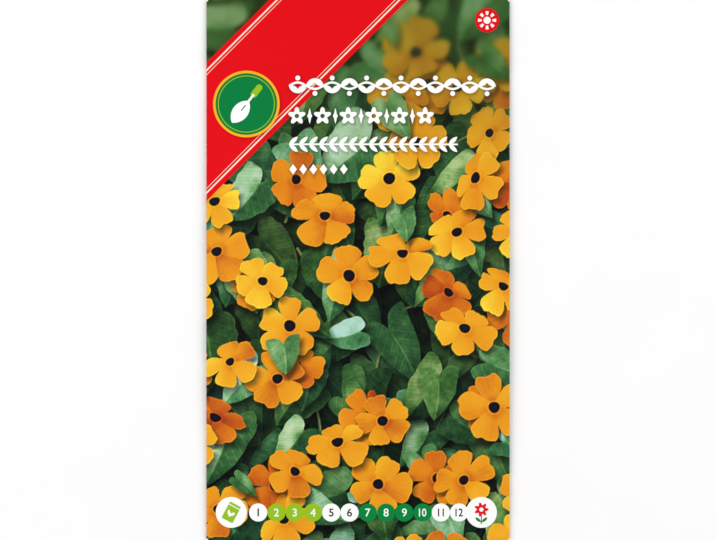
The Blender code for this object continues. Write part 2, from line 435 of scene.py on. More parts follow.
def bloomForm(bloom):
    # five blunt petals round a dark eye
    radius, turn = bloom["radius"], math.radians(bloom["turn"])
    light = math.radians(picture["lightFrom"])
    eye = picture["eyeShare"] * radius * bloom["eyeScale"]

    def form(dx, dy, grain):
        # the bloom is tipped, so it is shorter along the tilt, and its eye lies off the middle
        down, aside = turned(dx, dy, bloom["tiltTowards"])
        down = down / np.where(down > 0, bloom["near"], bloom["far"])
        px, py = turned(down, aside, -bloom["tiltTowards"])
        r, theta = np.hypot(px, py), np.arctan2(py, px)
        inside = np.full(r.shape, -1e3, np.float32)
        tone = np.zeros(r.shape, np.float32)
        for petal in bloom["petals"]:
            # each petal is a wedge whose end is blunt: r = R (1 - |a|^p)^(1/p), with a shallow notch in it
            axis = turn + petal["angle"]
            a = (theta - axis + math.pi) % (2 * math.pi) - math.pi
            share = a / (petal["half"] * (1 + 0.4 * np.exp(-((r / (0.34 * radius)) ** 2))))
            blunt = np.maximum(1 - np.abs(share) ** petal["blunt"], 0) ** (1 / petal["blunt"])
            frill = a * petal["frill"] + petal["phase"]
            notch = petal["notch"] * np.exp(-((a / 0.13) ** 2))
            notch = notch - 0.022 * np.cos(frill) - 0.01 * np.cos(2.3 * frill)
            reach = radius * petal["length"] * (blunt - notch)
            here = np.where(np.abs(share) < 1, reach - r, -1e3)
            if grain is not None:
                lean = math.cos(axis - light)
                across = math.sin(light - axis)
                rise = r / (radius * petal["length"])
                shade = petal["tone"] + 0.07 * across * share + 0.05 * lean * (1 - 1.6 * rise)
                streaks = np.cos(30 * a + petal["phase"]) * ease(0.3, 0.7, rise)
                shade = shade + 0.05 * (rise - 0.5) + 0.012 * streaks
                shade = shade + 0.10 * (grain - 0.5) + 0.05 * np.cos(3.1 * share + petal["phase"]) * rise
                shade = shade + 0.15 * np.exp(-(((here - 0.14) / 0.2) ** 2))
                # the petal beneath is in the shade of the one over it
                tone -= 0.18 * np.exp(-np.maximum(-here, 0) / 0.6) * (here < 0) * ease(0.3, 0.5, r / radius)
                tone = np.where(here > 0, shade, tone)
            inside = np.maximum(inside, here)
        if grain is None:
            return inside, None
        tone = tone - 0.12 * ease(0.46, 0.14, r / radius) + 0.14 * np.exp(-(((r - eye - 0.22) / 0.24) ** 2))
        glow = bloom["glow"] * (px * math.cos(bloom["glowTo"]) + py * math.sin(bloom["glowTo"])) / radius
        colour = toned(tone + bloom["tone"] + glow, picture["petalTones"])
        dark = hold((eye * (1 + 0.03 * np.cos(3 * (theta - turn))) - r) / 0.22 + 0.5)[..., None]
        heart = hold(1.1 - r / (0.7 * eye))[..., None]
        pupil = np.array(picture["eye"]) / 255 * (1 - heart) + np.array(picture["eyeHeart"]) / 255 * heart
        colour = colour * (1 - dark) + pupil * dark
        return inside, colour * np.array(bloom["tint"])

    return form


def stemForm(stem):
    def form(dx, dy, grain):
        # a thin stem: the strip within half its width of y = bow sin(pi x / length)
        along, across = turned(dx, dy, stem["turn"])
        share = hold(along / stem["length"] + 0.5)
        across = across - stem["bow"] * np.sin(math.pi * share)
        inside = stem["width"] - np.hypot(across, along - (share - 0.5) * stem["length"])
        if grain is None:
            return inside, None
        return inside, toned(0.5 - 0.3 * across / stem["width"] + 0.2 * grain, stem["tones"])

    return form


def scattered(draw, low, high, apart, tries, keeps):
    # seeded draws in a box, each kept if it is far enough from those before it
    places = []
    for spot in draw.uniform(low, high, (tries, 2)):
        if keeps(*spot) and all(math.dist(spot, other) > apart for other in places):
            places.append(tuple(spot))
    return places


def newLeaf(draw, tone, tint):
    # seeded draws for one leaf, round its layer's tone
    return {
        "turn": draw.normal(-88, 48),
        "length": picture["leafLength"] * draw.uniform(0.70, 1.28),
        "width": draw.uniform(0.74, 1.26),
        "lobes": draw.uniform(0.08, 0.30),
        "bend": draw.uniform(-0.25, 0.25),
        "wave": draw.uniform(0.010, 0.030),
        "waves": draw.uniform(7, 13),
        "phase": draw.uniform(0, 6.28),
        "tone": tone + draw.normal(0, 0.08),
        "sheen": draw.uniform(-0.05, 0.32),
        "rim": draw.uniform(0, 1),
        "tint": tint,
    }


def newBloom(draw, tone, tint):
    # seeded draws for one bloom and its five petals; they overlap from a random petal on
    petals = []
    drop = draw.uniform(0, 2 * math.pi)
    for k in range(5):
        petals.append({
            "angle": 2 * math.pi * k / 5 + draw.normal(0, 0.05),
            "half": math.radians(draw.uniform(33, 39)),
            "blunt": draw.uniform(3.0, 5.2),
            "length": draw.uniform(0.86, 1.08),
            "notch": draw.uniform(0.0, 0.06),
            "frill": draw.uniform(7, 12),
            "phase": draw.uniform(0, 6.28),
            "tone": draw.normal(0.55, 0.035) + 0.07 * math.cos(drop + k * 2.5),
        })
    start = draw.integers(0, 5)
    return {
        "radius": picture["bloomRadius"] * draw.uniform(0.84, 1.13),
        "turn": draw.uniform(0, 72),
        "tiltTowards": draw.normal(-90, 50),
        "near": draw.uniform(0.92, 1.06),
        "far": draw.uniform(0.46, 1.0),
        "eyeScale": draw.uniform(0.9, 1.1),
        "glow": 0.03 + 0.3 * draw.random() ** 4,
        "glowTo": draw.uniform(0, 2 * math.pi),
        "petals": petals[start:] + petals[:start],
        "tone": tone + draw.normal(0, 0.045),
        "tint": tint,
    }


def paintLeaves(halfWidth, halfHeight):
    # four layers of leaves, from the deepest and dimmest up, with stems between the lower ones; each layer is
    # a spacing, a tone and how bright it is
    draw, shadows = np.random.default_rng(picture["seed"]), picture["shadows"]
    canvas = newCanvas(halfWidth, halfHeight)
    low, high = (-halfWidth - 4, -halfHeight - 4), (halfWidth + 4, halfHeight + 10)
    for apart, tone, dim in picture["leafLayers"]:
        for spot in scattered(draw, low, high, apart, 700, lambda x, y: True):
            warm = draw.uniform(-1, 1)
            leaf = newLeaf(draw, tone, (dim * (1 + 0.10 * warm), dim, dim * (1 - 0.14 * warm)))
            stamp(canvas, spot, leaf["length"] * 1.15, leafForm(leaf), shadows["leaf"])
        if tone > 0.3:
            continue
        for spot in scattered(draw, low, high, 26, 60, lambda x, y: True):
            stem = {
                "turn": draw.normal(80, 35),
                "length": draw.uniform(18, 34),
                "bow": draw.uniform(-5, 5),
                "width": draw.uniform(0.28, 0.5),
                "tones": picture["stemTones"],
            }
            stamp(canvas, spot, stem["length"] * 0.6, stemForm(stem), shadows["stem"])
    return canvas, draw


def paintBlooms(canvas, draw, halfWidth, halfHeight):
    # shaded blooms behind, then the front ones, a few of them golden or with a leaf laid over them
    shadows = picture["shadows"]
    low, high = (-halfWidth - 5, -halfHeight - 3), (halfWidth + 5, halfHeight + 3)

    def lowGround(x, y):
        # blooms keep off the foot of the front, and off its top left
        return -74 < y < 30 or (y < 66 and x > 2)

    for spot in scattered(draw, low, high, 20, 44, lowGround):
        bloom = newBloom(draw, -0.17, (0.97, 0.88, 0.86))
        stamp(canvas, spot, bloom["radius"] * 1.2, bloomForm(bloom), shadows["behind"])
    for spot in scattered(draw, low, high, 13.2, 500, lowGround):
        if draw.random() < 0.27:
            continue
        gold = draw.random() < 0.16
        bloom = newBloom(draw, 0.22 if gold else 0.0, (1.0, 1.0, 1.0))
        stamp(canvas, spot, bloom["radius"] * 1.2, bloomForm(bloom), shadows["bloom"])
        if draw.random() < 0.16:
            spot = (spot[0] + draw.uniform(-9, 9), spot[1] + draw.uniform(7, 11))
            leaf = newLeaf(draw, 0.50, (1, 1, 1))
            leaf["length"] *= 0.72
            stamp(canvas, spot, leaf["length"] * 1.15, leafForm(leaf), shadows["laidOver"])


def finishPicture(canvas):
    # the top of the picture is out of focus and covered by an olive haze, and the rest is sharpened
    ink, y = canvas["ink"], canvas["y"][:, None, None]
    blurred = boxBlur(boxBlur(ink, 5), 5)
    far = ease(picture["blurFrom"], picture["blurTo"], y)
    ink = ink * (1 - far) + blurred * far
    ink = hold(ink + 0.45 * (ink - boxBlur(ink, 2)) * (1 - far))
    amount = 0.48 * ease(picture["hazeFrom"], picture["hazeTo"], y)
    return (ink * (1 - amount) + np.array(picture["haze"]) / 255 * amount).astype(np.float32)


halfBlank = (pastFold + 0.5, edgeY + endFold + 2)
canvas, draw = paintLeaves(*halfBlank)
paintBlooms(canvas, draw, *halfBlank)
canvas["ink"] = finishPicture(canvas)
print("painted the picture", canvas["ink"].shape)


def linear(colour):
    # from the screen's scale, 0 to 1, to light: ((c + 0.055) / 1.055)^2.4, or c / 12.92 near black
    colour = np.asarray(colour, dtype=np.float64)
    return np.where(colour > 0.04045, ((colour + 0.055) / 1.055) ** 2.4, colour / 12.92)


def paint(piece, u, v):
    # gives each point of the outer face the picture's colour at its place on the flat blank, between the four
    # nearest points of the canvas
    x, y, ink = canvas["x"], canvas["y"], canvas["ink"]
    j = hold((u - x[0]) / picture["pitch"], 0, len(x) - 1.001)
    i = hold((v - y[0]) / picture["pitch"], 0, len(y) - 1.001)
    j0, i0 = j.astype(int), i.astype(int)
    s, t = (j - j0)[None, :, None], (i - i0)[:, None, None]
    low = ink[i0][:, j0] * (1 - s) + ink[i0][:, j0 + 1] * s
    high = ink[i0 + 1][:, j0] * (1 - s) + ink[i0 + 1][:, j0 + 1] * s
    colours = np.ones((len(piece.data.vertices), 4), dtype=np.float32)
    colours[: len(u) * len(v), :3] = linear(low * (1 - t) + high * t).reshape(-1, 3)
    layer = piece.data.color_attributes.new("print", "FLOAT_COLOR", "POINT")
    layer.data.foreach_set("color", colours.ravel())


class Socket:
    # wraps one output of a material's nodes, so that an expression on such values adds its Math nodes
    def __init__(self, tree, out=None):
        self.tree = tree
        self.out = out

    def node(self, kind, settings, values, output=0):
        # adds any node: its settings first, then the values or links of its sockets
        made = self.tree.nodes.new("ShaderNode" + kind)
        for name, setting in settings.items():
            setattr(made, name, setting)
        for name, value in values.items():
            if isinstance(value, Socket):
                self.tree.links.new(value.out, made.inputs[name])
            else:
                made.inputs[name].default_value = value
        return Socket(self.tree, made.outputs[output])

    def math(self, operation, *terms, clamp=False):
        # one Math node on up to three terms
        return self.node("Math", {"operation": operation, "use_clamp": clamp}, dict(enumerate(terms)))

    def __add__(self, other):
        return self.math("ADD", self, other)

    def __sub__(self, other):
        return self.math("SUBTRACT", self, other)

    def __rsub__(self, other):
        return self.math("SUBTRACT", other, self)

    def __mul__(self, other):
        return self.math("MULTIPLY", self, other)

    def __truediv__(self, other):
        return self.math("DIVIDE", self, other)

    def __rtruediv__(self, other):
        return self.math("DIVIDE", other, self)

    def __abs__(self):
        return self.math("ABSOLUTE", self)

    __radd__ = __add__
    __rmul__ = __mul__


def sine(a):
    return a.math("SINE", a)


def root(a):
    return a.math("SQRT", a)


def least(a, b):
    return a.math("MINIMUM", a, b)


def most(a, b):
    return a.math("MAXIMUM", a, b)


def apartFrom(x, y):
    # the distance of (x, y) from the origin
    return root(x * x + y * y)


def within(edge, soft=0.07):
    # 1 inside a form and 0 outside it, where edge is the signed distance from its outline in mm
    return edge.math("MULTIPLY_ADD", edge, -1 / soft, 0.5, clamp=True)


def boxEdge(x, y, halfX, halfY, corner=0.0):
    # signed distance from a rectangle with round corners
    overX, overY = abs(x) - (halfX - corner), abs(y) - (halfY - corner)
    outside = apartFrom(most(overX, 0), most(overY, 0))
    return outside + least(most(overX, overY), 0) - corner


def lensEdge(along, across, halfLength, halfWidth):
    # signed distance from the overlap of two circles, which is a leaf's or a trowel blade's outline
    radius = (halfLength**2 + halfWidth**2) / (2 * halfWidth)
    return apartFrom(along, abs(across) + (radius - halfWidth)) - radius


def repeated(x, start, pitch, last):
    # the number of the nearest of equally spaced places, from 0 to last, and how far x is from it
    number = (x - start) / pitch
    number = most(least(number.math("ROUND", number), last), 0)
    return number, x - start - number * pitch


def ink(red, green, blue):
    # a screen colour, 0 to 255, as a shader's colour
    return (*(float(c) for c in linear(np.array((red, green, blue)) / 255)), 1.0)


def over(under, colour, mask):
    # under (1 - mask) + colour mask
    return mask.node("Mix", {"data_type": "RGBA"}, {0: mask, 6: under, 7: colour}, 2)


def printed(under, *layers):
    # lays inks one over another; each layer is an ink and its form's signed distance
    for tint, edge in layers:
        under = over(under, tint, within(edge))
    return under


def newMaterial(material, constants):
    # empties the material's tree, gives its shader the constants, and returns a socket to start from
    material.use_nodes = True
    tree = material.node_tree
    tree.nodes.clear()
    output = tree.nodes.new("ShaderNodeOutputMaterial")
    shader = tree.nodes.new("ShaderNodeBsdfPrincipled")
    tree.links.new(shader.outputs[0], output.inputs["Surface"])
    for name, value in constants.items():
        shader.inputs[name].default_value = value
    return Socket(tree), shader


def feed(shader, **links):
    # links what varies over the surface to the shader's own sockets
    targets = {"colour": "Base Color", "roughness": "Roughness", "normal": "Normal", "metal": "Metallic"}
    for name, value in links.items():
        value.tree.links.new(value.out, shader.inputs[targets[name]])


def placeInMm(start):
    # the object coordinates, and each of the three in mm
    place = start.node("TexCoord", {}, {}, "Object")
    return place, [start.node("SeparateXYZ", {}, {0: place}, k) * (1 / mm) for k in range(3)]


def speckle(start, place, scale, detail):
    # fractal noise, 0 to 1, with scale in lumps per metre
    return start.node("TexNoise", {}, {"Vector": place, "Scale": scale, "Detail": detail})


def bump(start, height, strength, distance):
    # the normal, tipped by the height's slope; distance is in metres
    return start.node("Bump", {}, {"Height": height, "Strength": strength, "Distance": distance})


graphics = {
    "red": (227, 6, 19),
    "cream": (250, 232, 208),
    "deepGreen": (0, 132, 61),
    "badgeGreen": (0, 124, 60),
    "lime": (149, 193, 31),
    "amber": (250, 178, 34),
    "white": (252, 252, 250),
    "ribbonFrom": 13.4,  # distances from the top left corner, square to the ribbon
    "ribbonTo": 42.5,
    "ribbonShadow": (0.01, 0.012, 0.008, 1),
    "badge": (-33.1, 49.2, 9.9),  # centre and radius
    "badgeShadow": (0.05, 0.0, 0.0, 1),
    "cornerDisc": (38.3, 74.1, 3.6),
    "rowLeft": -20.4,
    "rows": {"scroll": 54.6, "rosettes": 45.6, "sprig": 37.2, "lozenges": 29.8},
    "rowShadow": (0.006, 0.008, 0.006, 1),
    "months": {"y": -71.9, "first": -29.6, "pitch": 5.418, "radius": 2.7},
    "signs": {"left": -37.6, "right": 36.6, "radius": 4.6},
}
white, red, lime = (ink(*graphics[name]) for name in ("white", "red", "lime"))
deepGreen, cream, amber = (ink(*graphics[name]) for name in ("deepGreen", "cream", "amber"))


def ornamentRows(x, y):
    # four rows of white ornament, as the least of their signed distances: a scroll with leaves and berries on
    # both sides, five-petalled rosettes with slim lozenges between, a straight sprig, and lozenges
    left, rows = graphics["rowLeft"], graphics["rows"]
    up = y - rows["scroll"]
    wave = up - 0.95 * sine((x - left) * (2 * math.pi / 10.2))
    stem = most(abs(wave) - 0.34, boxEdge(x - (left + 30.4), up, 30.4, 3))
    side, away = repeated(x, left + 2.55, 5.1, 11)
    flipped = up * (1 - 2 * side.math("MODULO", side, 2))
    leaves = lensEdge(*turned(abs(away) - 1.1, flipped + 1.0, 38), 1.95, 0.84)
    berries = apartFrom(away, flipped - 2.3) - 0.72
    ornament = least(least(stem, leaves), berries)

    _, away = repeated(x, left + 2.3, 7.6, 5)
    up = y - rows["rosettes"]
    rosette = apartFrom(away, up) - (2.05 + 0.6 * sine(5 * away.math("ARCTAN2", up, away)))
    rosette = most(rosette, 0.66 - apartFrom(away, up))
    _, between = repeated(x, left + 6.1, 7.6, 4)
    dots = least(apartFrom(between, up) - 0.7, lensEdge(up, between, 2.3, 0.42))
    ornament = least(ornament, least(rosette, dots))

    _, away = repeated(x, left + 1.3, 2.95, 16)
    up = y - rows["sprig"]
    sprig = lensEdge(*turned(away, abs(up) - 1.1, 42), 1.75, 0.62)
    ornament = least(ornament, least(sprig, boxEdge(x - (left + 25), up, 25, 0.26)))

    _, away = repeated(x, left + 1.2, 3.0, 5)
    return least(ornament, (abs(away) + 0.72 * abs(y - rows["lozenges"]) - 1.12) * 0.8)


def trowelEdge(x, y):
    # a garden trowel aslant, as two signed distances: its handle, and its shaft and creased blade
    along, across = turned(x, y, 52)
    handle = boxEdge(along - 4.9, across, 2.2, 0.95, 0.9)
    shaft = boxEdge(along - 1.6, across, 2.0, 0.34)
    crease = abs(across) + most(-2.4 - along, 0)
    return handle, least(shaft, most(lensEdge(along + 2.9, across, 4.1, 2.35), 0.16 - crease))


def petalled(x, y, count, middle, swing):
    # signed distance from a rosette, r = middle + swing cos(count angle)
    spin = x.math("ARCTAN2", y, x)
    return apartFrom(x, y) - (middle + swing * x.math("COSINE", count * spin))


def leafPair(x, y, apart, halfLength, halfWidth):
    # two leaves that rise to both sides at 40 degrees
    right = lensEdge(*turned(x - apart, y, 40), halfLength, halfWidth)
    return least(right, lensEdge(*turned(x + apart, y, 140), halfLength, halfWidth))


def signColours(under, x, y):
    # the two white discs at the ends of the month row: a lime seed bag with a sprout, and a red daisy
    signs, level = graphics["signs"], y - graphics["months"]["y"]
    left, right = x - signs["left"], x - signs["right"]
    along, across = turned(left, level, 62)
    bag = boxEdge(along, across, 2.75, 1.85, 0.35)
    sprout = least(
        lensEdge(*turned(along + 0.4, across - 0.55, 35), 0.95, 0.42),
        lensEdge(*turned(along + 0.4, across + 0.55, -35), 0.95, 0.42),
    )
    stalk = boxEdge(right, level + 2.0, 0.16, 1.5)
    return printed(
        under,
        (white, least(apartFrom(left, level), apartFrom(right, level)) - signs["radius"]),
        (lime, bag),
        (white, most(abs(along - 1.9) - 0.13, bag)),
        (white, least(sprout, boxEdge(along + 0.9, across, 0.7, 0.1))),
        (ink(40, 120, 50), least(stalk, leafPair(right, level + 2.2, 0.95, 1.1, 0.42))),
        (ink(222, 22, 34), petalled(right, level - 0.85, 7, 1.75, 0.42)),
        (white, apartFrom(right, level - 0.85) - 0.62),
    )


def monthColours(under, x, y):
    # twelve touching discs, white, lime or green by the month's number
    months = graphics["months"]
    number, away = repeated(x, months["first"], months["pitch"], 11)
    inLime = within(abs(number - 2) - 1.5, 0.2)
    inGreen = within(abs(number - 7.5) - 2, 0.2)
    colour = over(over(white, lime, inLime), deepGreen, inGreen)
    return over(under, colour, within(apartFrom(away, y - months["y"]) - months["radius"]))


def frontGraphics(under, x, y):
    # everything printed over the picture, from the bottom layer up
    fromCorner = ((x + sheet["width"] / 2) + (sheet["height"] / 2 - y)) / math.sqrt(2)
    half = (graphics["ribbonTo"] - graphics["ribbonFrom"]) / 2
    band = abs(fromCorner - (graphics["ribbonFrom"] + half))
    colour = over(under, graphics["ribbonShadow"], 0.42 * within(band - half - 0.2, 2.4))
    colour = printed(
        colour,
        (red, band - half),
        (cream, abs(band - (half - 1.7)) - 0.22),
        (cream, abs(band - (half - 2.6)) - 0.08),
    )

    rowShadow = 0.5 * within(ornamentRows(x - 0.25, y + 0.3) - 0.25, 1.5)
    colour = over(colour, graphics["rowShadow"], rowShadow)
    colour = over(colour, white, within(ornamentRows(x, y)))

    cx, cy, radius = graphics["badge"]
    left, up = x - cx, y - cy
    fromBadge = apartFrom(left, up)
    handle, blade = trowelEdge(left, up)
    badgeShadow = 0.45 * within(apartFrom(left - 0.4, up + 0.5) - radius, 1.6)
    colour = printed(
        over(colour, graphics["badgeShadow"], badgeShadow),
        (amber, fromBadge - radius),
        (ink(*graphics["badgeGreen"]), fromBadge - (radius - 0.75)),
        (lime, abs(fromBadge - (radius - 1.55)) - 0.13),
        (lime, handle),
        (white, blade),
    )

    cx, cy, radius = graphics["cornerDisc"]
    left, up = x - cx, y - cy
    fromDisc = apartFrom(left, up)
    between = 0.74 - abs(left.math("COSINE", 4 * left.math("ARCTAN2", up, left)))
    rays = most(abs(fromDisc - 2.15) - 0.55, between * 1.4)
    colour = printed(colour, (red, fromDisc - radius), (white, least(fromDisc - 1.05, rays)))
    return signColours(monthColours(colour, x, y), x, y)


def makeFrontPrint():
    # the painted picture under the graphics, worn paler at the side folds
    start, shader = newMaterial(frontPrint, {"Specular IOR Level": 0.09})
    place, (x, y, _) = placeInMm(start)
    painted = start.node("Attribute", {"attribute_name": "print"}, {}, "Color")
    colour = frontGraphics(painted, x, y)
    fibre = speckle(start, place, 900, 3)
    worn = within(sheet["width"] / 2 - abs(x), 0.9) * within(0.62 - speckle(start, place, 700, 2), 0.1)
    colour = over(colour, ink(236, 230, 216), 0.14 * worn)
    feed(shader, colour=colour, roughness=0.34 + 0.1 * fibre,
         normal=bump(start, speckle(start, place, 2600, 2), 0.05, 0.00004))


backGraphics = {
    "pale": (250, 246, 234),
    "dull": (243, 237, 220),
    "green": (0, 118, 58),
    "headFrom": 51.5,
    "stripes": {"red": 50.2, "lime": 48.7},
    "rosettes": {"x": -35, "y": 56.6, "pitch": 7},
    "panel": {"y": 14.5, "halfX": 38, "halfY": 29.5, "corner": 2.5},
    "rules": {"y": -9, "pitch": 5.2, "halfX": 33},
    "cells": {"x": -31.5, "y": -36.2, "pitchX": 12.6, "pitchY": 6.6},
    "discs": {"x": -27, "y": -47.8, "pitch": 18, "radius": 5.4},
    "bleedFrom": 43.9,  # the green of the front runs over the side folds up to here
}


def backPanels(colour, x, y):
    # a green header with lime rosettes over two stripes, a ruled panel, and two rows of month cells
    head, stripes, panel, rules, cells = (
        backGraphics[name] for name in ("rosettes", "stripes", "panel", "rules", "cells")
    )
    _, away = repeated(x, head["x"], head["pitch"], 10)
    up = y - head["y"]
    border = boxEdge(x, y - panel["y"], panel["halfX"], panel["halfY"], panel["corner"])
    _, fromRule = repeated(y, rules["y"], rules["pitch"], 9)
    colour = printed(
        colour,
        (ink(*backGraphics["green"]), backGraphics["headFrom"] - y),
        (red, abs(y - stripes["red"]) - 0.55),
        (lime, abs(y - stripes["lime"]) - 0.3),
        (lime, most(petalled(away, up, 6, 1.35, 0.4), abs(up) - 3)),
        (ink(226, 239, 205), border),
        (deepGreen, abs(border + 0.9) - 0.14),
        (ink(150, 186, 120), boxEdge(x, fromRule, rules["halfX"], 0.13)),
    )
    number, away = repeated(x, cells["x"], cells["pitchX"], 5)
    row, up = repeated(y, cells["y"], cells["pitchY"], 1)
    cell = boxEdge(away, up, 5.6, 2.7, 0.6)
    warm = within(abs(number + 6 * (1 - row) - 3.5) - 2.1, 0.3)
    colour = over(colour, over(ink(214, 224, 196), lime, warm), within(cell))
    return over(colour, white, within(abs(cell + 0.45) - 0.09))


def pictograms(colour, x, y):
    # four green discs with white rings; by its number each holds a sun, a drop, a ruler or a sprout
    discs = backGraphics["discs"]
    number, away = repeated(x, discs["x"], discs["pitch"], 3)
    up = y - discs["y"]
    fromDisc = apartFrom(away, up)
    sun = most(petalled(away, up, 8, 2.3, 0.75), 0.9 - fromDisc)
    drop = lensEdge(up, away, 3.1, 1.7)
    ticks = least(boxEdge(away, abs(up) - 2.8, 1.5, 0.25), boxEdge(away, up, 0.9, 0.2))
    ruler = least(boxEdge(away, up, 0.3, 3.0), ticks)
    sprout = least(leafPair(away, up - 0.7, 1.3, 2.0, 0.95), boxEdge(away, up + 1.6, 0.2, 1.8))
    colour = printed(colour, (deepGreen, fromDisc - discs["radius"]), (white, abs(fromDisc - 4.75) - 0.16))
    signs = ((amber, sun), (ink(150, 205, 235), drop), (white, ruler), (lime, sprout))
    for chosen, (tint, edge) in enumerate(signs):
        colour = over(colour, tint, within(edge) * within(abs(number - chosen) - 0.5, 0.2))
    return colour


def makeBackPrint():
    # cream paper with the back's print, the front's green over its folds, and wear along them
    start, shader = newMaterial(backPrint, {"Specular IOR Level": 0.3})
    place, (x, y, _) = placeInMm(start)
    fibre = speckle(start, place, 900, 3)
    pale, dull, green = (ink(*backGraphics[name]) for name in ("pale", "dull", "green"))
    colour = over(pale, dull, speckle(start, place, 120, 3))
    colour = pictograms(backPanels(colour, x, y), x, y)
    bleed = within(backGraphics["bleedFrom"] - abs(x), 0.12) * within(y - backGraphics["headFrom"])
    colour = over(colour, green, bleed)
    wear = within(0.6 - speckle(start, place, 500, 3), 0.12) * within(44.4 - abs(x), 0.8)
    colour = over(colour, ink(240, 236, 226), 0.4 * wear)
    feed(shader, colour=colour, roughness=0.38 + 0.12 * fibre,
         normal=bump(start, speckle(start, place, 2400, 2), 0.06, 0.00004))


def makeRawPaper():
    # the paper's unprinted inner face, and its cut edges
    start, shader = newMaterial(rawPaper, {"Specular IOR Level": 0.2})
    place, _ = placeInMm(start)
    fibre = speckle(start, place, 1400, 4)
    feed(shader, colour=over(ink(248, 246, 240), ink(232, 228, 218), fibre), roughness=0.8 + 0.15 * fibre,
         normal=bump(start, fibre, 0.2, 0.0001))


def makeSeedSkin():
    # brown and matt, paler where the noise is low
    start, shader = newMaterial(seedSkin, {"Specular IOR Level": 0.35})
    place, _ = placeInMm(start)
    lumps = speckle(start, place, 1500, 4)
    colour = over(ink(58, 40, 30), ink(108, 84, 62), within(0.52 - lumps, 0.25))
    feed(shader, colour=colour, roughness=0.7 + 0.2 * lumps, normal=bump(start, lumps, 0.5, 0.0002))


def makeDriedGlue():
    # cloudy, with small pale bubbles
    start, shader = newMaterial(driedGlue, {"Specular IOR Level": 0.5})
    place, _ = placeInMm(start)
    cloud, bubbles = speckle(start, place, 160, 3), speckle(start, place, 1900, 2)
    colour = over(ink(228, 222, 200), ink(206, 196, 166), cloud)
    colour = over(colour, ink(240, 236, 222), 0.6 * within(0.62 - bubbles, 0.06))
    feed(shader, colour=colour, roughness=0.3 + 0.3 * cloud, normal=bump(start, bubbles, 0.3, 0.00008))


def makePaleFloor():
    # nearly white, with a very faint cloud
    start, shader = newMaterial(paleFloor, {"Specular IOR Level": 0.1})
    place, _ = placeInMm(start)
    grain = speckle(start, place, 40, 3)
    feed(shader, colour=over(ink(252, 252, 252), ink(249, 249, 249), grain), roughness=0.85 + 0.1 * grain)


def makeNumeralInk(material, full, thin):
    # ink that lies a little thinner in small specks
    start, shader = newMaterial(material, {"Specular IOR Level": 0.14})
    place, _ = placeInMm(start)
    specks = speckle(start, place, 3000, 3)
    feed(shader, colour=over(full, thin, within(specks - 0.42, 0.3)), roughness=0.34 + 0.1 * specks)


frontPrint, backPrint, rawPaper, sachetPaper, seedSkin, driedGlue, paleFloor, darkInk, paleInk = (
    bpy.data.materials.new(name)
    for name in ("front_print", "back_print", "raw_paper", "sachet_laminate", "seed_skin", "dried_glue",
                 "pale_floor", "dark_ink", "pale_ink")
)
makeFrontPrint()
makeBackPrint()
makeRawPaper()
makeSeedSkin()
makeDriedGlue()
makePaleFloor()
makeNumeralInk(darkInk, ink(26, 26, 28), ink(40, 40, 44))
makeNumeralInk(paleInk, white, ink(244, 246, 240))
for name in ("glue_lap_seam", "glue_bottom_flap", "glue_top_flap"):
    node = bpy.data.objects[name]
    node.data.materials.clear()
    node.data.materials.append(driedGlue)
print("mixed the inks")

fine, wide, fold = sheet["finePitch"], sheet["backPitch"], sideFold / 6
backEnd = pastFold + edgeX + sheet["lap"] / 2
stepFrom = backEnd - sheet["lap"] - sheet["lapStep"]
acrossFront = lines(-pastFold, (-edgeX, fold), (edgeX, fine), (pastFold, fold))
tileEnds = np.linspace(-panelEnd, panelEnd, sheet["tiles"] + 1)
for tile in range(sheet["tiles"]):
    rows = lines(tileEnds[tile], (tileEnds[tile + 1], fine))
    paperSlab(f"front_{tile + 1}", acrossFront, rows, 10, [frontPrint, rawPaper])

panelRows = lines(-panelEnd, (-66, wide), (-61, 0.5), (57, 1.6), (62, 0.5), (panelEnd, wide))
stepEnd = stepFrom + sheet["lapStep"]
leftColumns = lines(pastFold, (pastFold + 15, 0.8), (stepFrom, 1.6), (stepEnd, 0.4), (backEnd, 1.2))
rightColumns = lines(pastFold, (pastFold + 15, 0.8), (backEnd, 1.6))
paperSlab("back_left", -leftColumns[::-1], panelRows, 2, [backPrint, rawPaper])
paperSlab("back_right", rightColumns, panelRows, 2, [backPrint, rawPaper])

acrossFlap = lines(-sheet["flapHalf"], (sheet["flapHalf"], fine))
flapFold = edgeY + endFold
for name, side, depth in (("flap_bottom", -1, sheet["bottomFlap"]), ("flap_top", 1, sheet["topFlap"])):
    upFlap = lines(panelEnd, (edgeY, 0.2), (flapFold, endFold / 8), (flapFold + 4, 1), (flapFold + depth, 2))
    upFlap = upFlap if side > 0 else -upFlap[::-1]
    paperSlab(name, acrossFlap, upFlap, 6, [frontPrint, rawPaper, backPrint], flapFold)
print("folded the sheet")

numerals = {"tall": 3.3, "bold": 0.045, "thick": 0.008, "proud": 0.016}


